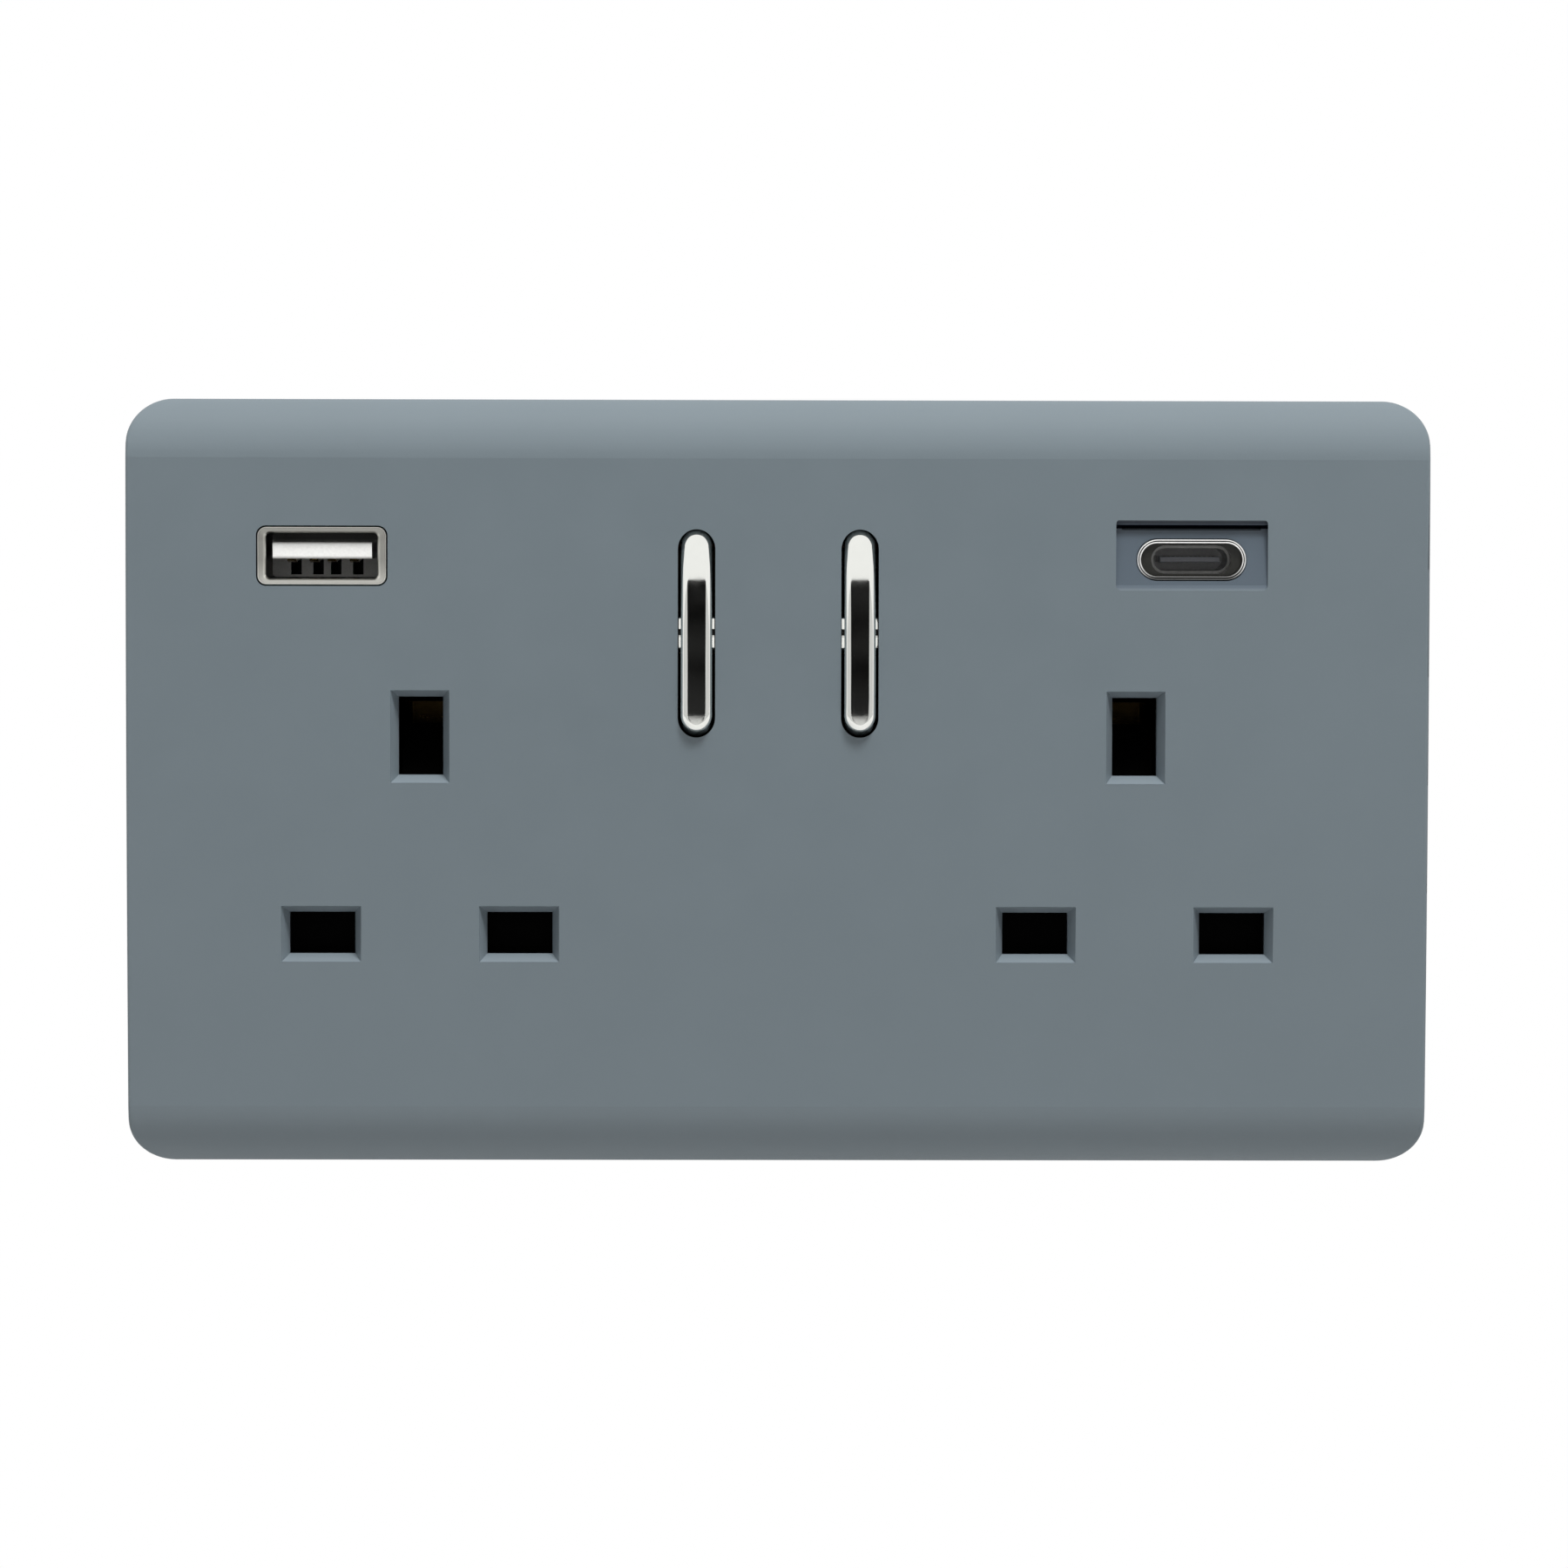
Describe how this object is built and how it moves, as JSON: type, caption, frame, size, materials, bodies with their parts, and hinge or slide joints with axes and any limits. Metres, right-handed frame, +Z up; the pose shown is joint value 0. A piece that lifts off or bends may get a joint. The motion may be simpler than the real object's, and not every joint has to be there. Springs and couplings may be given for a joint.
{
  "type": "switched wall socket with usb ports",
  "caption": "Switched wall socket for flat-pin plugs with USB-A and USB-C charging ports, chrome rockers, grey clip-on plate, shutters and rear terminals.",
  "frame": {"origin": "middle of the plate on the wall plane, halfway between the two holes for the fixing screws", "axes": "+X to the viewer's right along the plate, +Z up, and the front faces -Y, so the part in the wall box has positive Y"},
  "size_m": [0.146, 0.0365, 0.086],
  "materials": {
    "grey_plate": "fine-grained satin",
    "black_moulding": "satin",
    "housing_black": "satin",
    "carrier_plastic": "satin",
    "shutter_plastic": "satin",
    "chrome": "mirror",
    "frame_steel": "zinc plated",
    "screw_steel": "zinc plated",
    "spring_steel": "bright",
    "plunger_plastic": "smooth",
    "contact_copper": "rolled",
    "contact_brass": "rolled",
    "silver_tip": "bright",
    "terminal_brass": "machined",
    "port_nickel": "bright nickel",
    "port_white": "smooth",
    "port_gold": "plated",
    "port_black": "smooth",
    "board_green": "solder mask",
    "ferrite": "sintered",
    "winding_tape": "wound film",
    "can_aluminium": "drawn",
    "coil_copper": "enamelled",
    "chip_black": "moulded"
  },
  "bodies": {
    "socket": {"front_cover": "grey_plate", "mounting_frame": "frame_steel", "front_moulding": "black_moulding", "rear_housing": "housing_black", "fixed_tips": "silver_tip", "neutral_bar": "contact_brass", "live_bar": "contact_copper", "live_contact_left": "contact_copper", "live_contact_right": "contact_copper", "earth_bar": "contact_brass", "terminal_earth_left": "terminal_brass", "terminal_neutral": "terminal_brass", "terminal_live": "terminal_brass", "terminal_earth_right": "terminal_brass", "terminal_screws": "screw_steel", "housing_screws": "screw_steel", "usb_board": "board_green", "usb_a_sleeve": "port_nickel", "usb_a_insulator": "port_white", "usb_a_contacts": "port_gold", "usb_c_trim": "chrome", "usb_c_insert": "port_black", "usb_c_sleeve": "port_nickel", "usb_c_tongue": "port_black", "transformer_core": "ferrite", "transformer_winding": "winding_tape", "capacitors": "can_aluminium", "filter_coil": "ferrite", "coil_wire": "coil_copper", "control_chips": "chip_black", "shutter_spring_left": "spring_steel", "shutter_spring_right": "spring_steel"},
    "left_rocker": {"rocker_bar_left": "chrome", "rocker_carrier_left": "carrier_plastic", "plunger_left": "plunger_plastic", "plunger_spring_left": "spring_steel"},
    "left_seesaw": {"seesaw_contact_left": "contact_copper", "moving_tip_left": "silver_tip"},
    "left_shutter": {"shutter_left": "shutter_plastic"},
    "right_rocker": {"rocker_bar_right": "chrome", "rocker_carrier_right": "carrier_plastic", "plunger_right": "plunger_plastic", "plunger_spring_right": "spring_steel"},
    "right_seesaw": {"seesaw_contact_right": "contact_copper", "moving_tip_right": "silver_tip"},
    "right_shutter": {"shutter_right": "shutter_plastic"}
  },
  "joints": [
    {"name": "left_switch", "type": "hinge", "parent": "socket", "child": "left_rocker", "pos_m": [-0.00915, -0.005, 0.0168], "axis": [1, 0, 0], "range_deg": [0, 12]},
    {"name": "left_contact_rock", "type": "hinge", "parent": "socket", "child": "left_seesaw", "pos_m": [-0.00915, 0.008, 0.0168], "axis": [1, 0, 0], "range_deg": [-22, 0]},
    {"name": "left_shutter_slide", "type": "slide", "parent": "socket", "child": "left_shutter", "axis": [0, 0, -1], "range_m": [0, 0.0055], "stiffness_N_per_m": 120, "springref_m": -0.004, "deforming": ["shutter_spring_left"]},
    {"name": "right_switch", "type": "hinge", "parent": "socket", "child": "right_rocker", "pos_m": [0.00915, -0.005, 0.0168], "axis": [1, 0, 0], "range_deg": [0, 12]},
    {"name": "right_contact_rock", "type": "hinge", "parent": "socket", "child": "right_seesaw", "pos_m": [0.00915, 0.008, 0.0168], "axis": [1, 0, 0], "range_deg": [-22, 0]},
    {"name": "right_shutter_slide", "type": "slide", "parent": "socket", "child": "right_shutter", "axis": [0, 0, -1], "range_m": [0, 0.0055], "stiffness_N_per_m": 120, "springref_m": -0.004, "deforming": ["shutter_spring_right"]}
  ],
  "couplings": [
    {"joint": "left_contact_rock", "follows": "left_switch", "ratio": -1.8333},
    {"joint": "right_contact_rock", "follows": "right_switch", "ratio": -1.8333}
  ]
}
